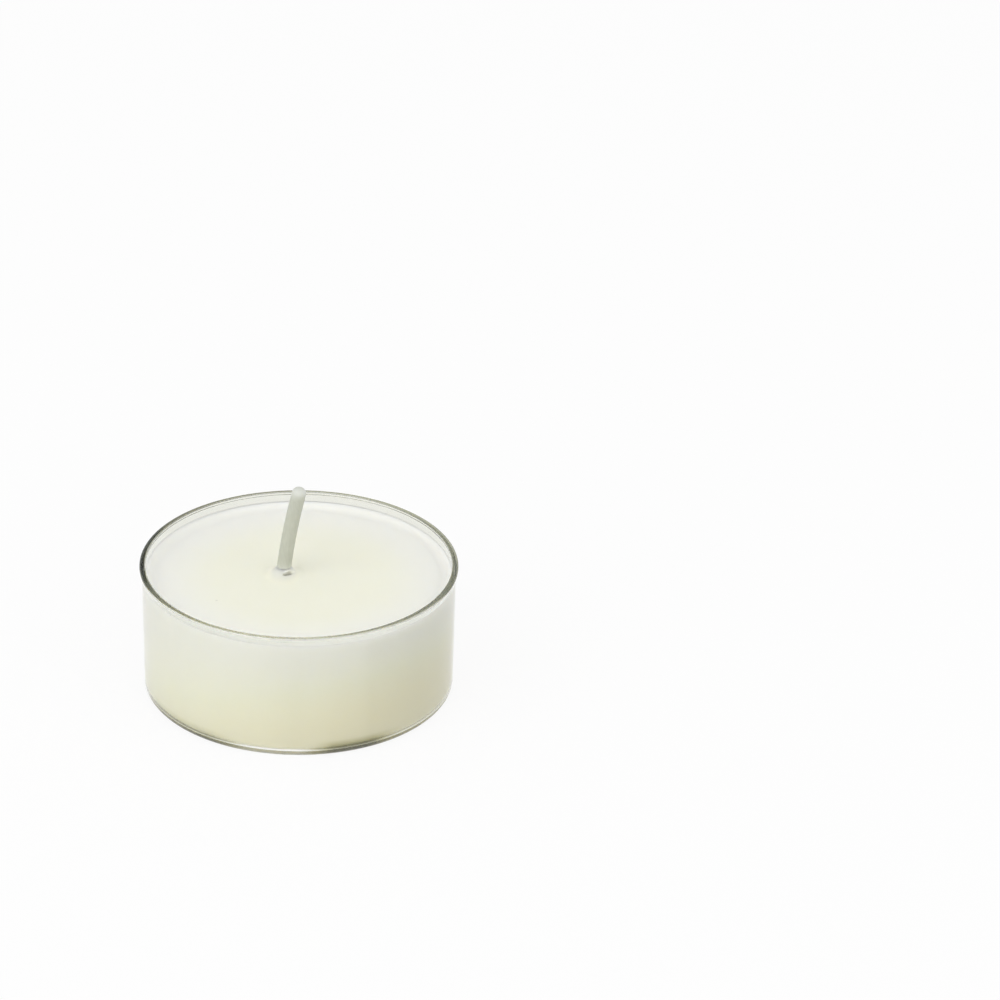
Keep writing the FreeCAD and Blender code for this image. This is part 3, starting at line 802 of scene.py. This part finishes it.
wick_grid = wick_points()
wick_mesh = grid_mesh("braided_wick", wick_grid)
write_attribute(wick_mesh, "pale_tip_and_foot", np.concatenate([pale_tip_and_foot_share(wick_grid), [0, 1]]))
piece("braided_wick", wick_mesh, "wick", waxed_cotton())


# Studio. A pale floor that keeps a soft shadow, a soft box at the front left, a weaker one at the
# front right, a white surround, and two cards behind that only show as dark lines in the plastic.
FLOOR_CORNERS = ((-1.5, -1.5, 0), (1.5, -1.5, 0), (1.5, 1.5, 0), (-1.5, 1.5, 0))
FLOOR_TONE = 0.88
FLOOR_WHITE_SHARE = 0.90
SOFT_BOX_SIZE = 0.6
KEY_PLACE = (-0.40, -0.38, 0.36)
KEY_POWER = 1.53
FILL_PLACE = (0.42, -0.35, 0.30)
FILL_POWER = 0.64
SURROUND_LIGHT = 0.77
CARD_DISTANCE = 0.6
CARD_LOW = 0.2
CARD_HIGH = 1.2
CARD_EDGE = -0.02
CARD_REACH = 1.2
CARD_LEFT_TONE = (0.02, 0.026, 0.03)
CARD_RIGHT_TONE = (0.60, 0.66, 0.62)


def straight_look(tree):
    """1 for what is seen straight, in a reflection or through the plastic, and 0 for the rest."""
    path = tree.nodes.new("ShaderNodeLightPath").outputs
    seen = maths(tree, "ADD", path["Is Camera Ray"], path["Is Glossy Ray"])
    return maths(tree, "ADD", seen, path["Is Transmission Ray"], clamp=True)


def before_matt(tree):
    """1 until a ray has met a matt surface, so that the white surround adds no light to one."""
    path = tree.nodes.new("ShaderNodeLightPath").outputs
    return maths(tree, "LESS_THAN", path["Diffuse Depth"], 0.5)


def pale_floor():
    """A pale matt floor that is mostly plain white to the eye."""
    made, node = new_material("pale_floor")
    tree = made.node_tree
    matt = node("ShaderNodeBsdfDiffuse", Color=(FLOOR_TONE, FLOOR_TONE, FLOOR_TONE, 1))
    white = node("ShaderNodeEmission")
    share = maths(tree, "MULTIPLY", straight_look(tree), FLOOR_WHITE_SHARE)
    mix = node("ShaderNodeMixShader", Fac=share)
    tree.links.new(matt.outputs["BSDF"], mix.inputs[1])
    tree.links.new(white.outputs["Emission"], mix.inputs[2])
    node("ShaderNodeOutputMaterial", Surface=mix.outputs["Shader"])
    return made


def stage_sheet(name, corners, material):
    """A flat sheet that isn't part of the object."""
    mesh = bpy.data.meshes.new(name)
    mesh.from_pydata(corners, [], [(0, 1, 2, 3)])
    mesh.materials.append(material)
    made = bpy.data.objects.new(name, mesh)
    bpy.context.scene.collection.objects.link(made)
    return made


def card(name, left, right, tone):
    """A card of one tone that stands behind. Only glossy and transmitted rays meet it, so it
    takes no light and hides nothing."""
    made, node = new_material(name)
    glow = node("ShaderNodeEmission", Color=(*tone, 1))
    node("ShaderNodeOutputMaterial", Surface=glow.outputs["Emission"])
    corners = [(left, CARD_DISTANCE, CARD_LOW), (right, CARD_DISTANCE, CARD_LOW),
               (right, CARD_DISTANCE, CARD_HIGH), (left, CARD_DISTANCE, CARD_HIGH)]
    sheet = stage_sheet(name, corners, made)
    sheet.visible_camera = False
    sheet.visible_diffuse = False
    sheet.visible_shadow = False


def soft_box(name, place, power):
    """A square lamp that faces the middle of the cup's foot."""
    lamp_data = bpy.data.lights.new(name, "AREA")
    lamp_data.size = SOFT_BOX_SIZE
    lamp_data.energy = power
    lamp = bpy.data.objects.new(name, lamp_data)
    bpy.context.scene.collection.objects.link(lamp)
    lamp.location = place
    lamp.rotation_euler = (-lamp.location).to_track_quat("-Z", "Y").to_euler()


stage_sheet("floor", FLOOR_CORNERS, pale_floor())
card("card_left", -CARD_REACH, CARD_EDGE, CARD_LEFT_TONE)
card("card_right", CARD_EDGE, CARD_REACH, CARD_RIGHT_TONE)
soft_box("key", KEY_PLACE, KEY_POWER)
soft_box("fill", FILL_PLACE, FILL_POWER)

world = bpy.data.worlds.new("studio")
bpy.context.scene.world = world
world.use_nodes = True
tree = world.node_tree
tree.nodes.clear()
light = tree.nodes.new("ShaderNodeBackground")
light.inputs["Color"].default_value = (1, 1, 1, 1)
light.inputs["Strength"].default_value = SURROUND_LIGHT
white = tree.nodes.new("ShaderNodeBackground")
white.inputs["Color"].default_value = (1, 1, 1, 1)
mix = tree.nodes.new("ShaderNodeMixShader")
plain_white = maths(tree, "MULTIPLY", straight_look(tree), before_matt(tree))
tree.links.new(plain_white, mix.inputs["Fac"])
tree.links.new(light.outputs["Background"], mix.inputs[1])
tree.links.new(white.outputs["Background"], mix.inputs[2])
tree.links.new(mix.outputs["Shader"], tree.nodes.new("ShaderNodeOutputWorld").inputs["Surface"])


# Camera. A long lens from the front and above, as the rim's and the foot's outlines fit it.
CAMERA_PLACE = (0.02443, -0.7192, 0.4009)
CAMERA_DOWN = math.radians(27.55)
CAMERA_ROLL = math.radians(1.0)
CAMERA_LENS = 240.16
CAMERA_SENSOR = 36.0
CAMERA_NEAR = 0.01
camera_data = bpy.data.cameras.new("camera")
camera_data.lens = CAMERA_LENS
camera_data.sensor_width = CAMERA_SENSOR
camera_data.clip_start = CAMERA_NEAR
camera = bpy.data.objects.new("camera", camera_data)
bpy.context.scene.collection.objects.link(camera)
pitch = Matrix.Rotation(math.pi / 2 - CAMERA_DOWN, 4, "X")
roll = Matrix.Rotation(CAMERA_ROLL, 4, "Z")
camera.matrix_world = Matrix.Translation(CAMERA_PLACE) @ pitch @ roll
bpy.context.scene.camera = camera
bpy.context.scene.view_settings.view_transform = "Standard"
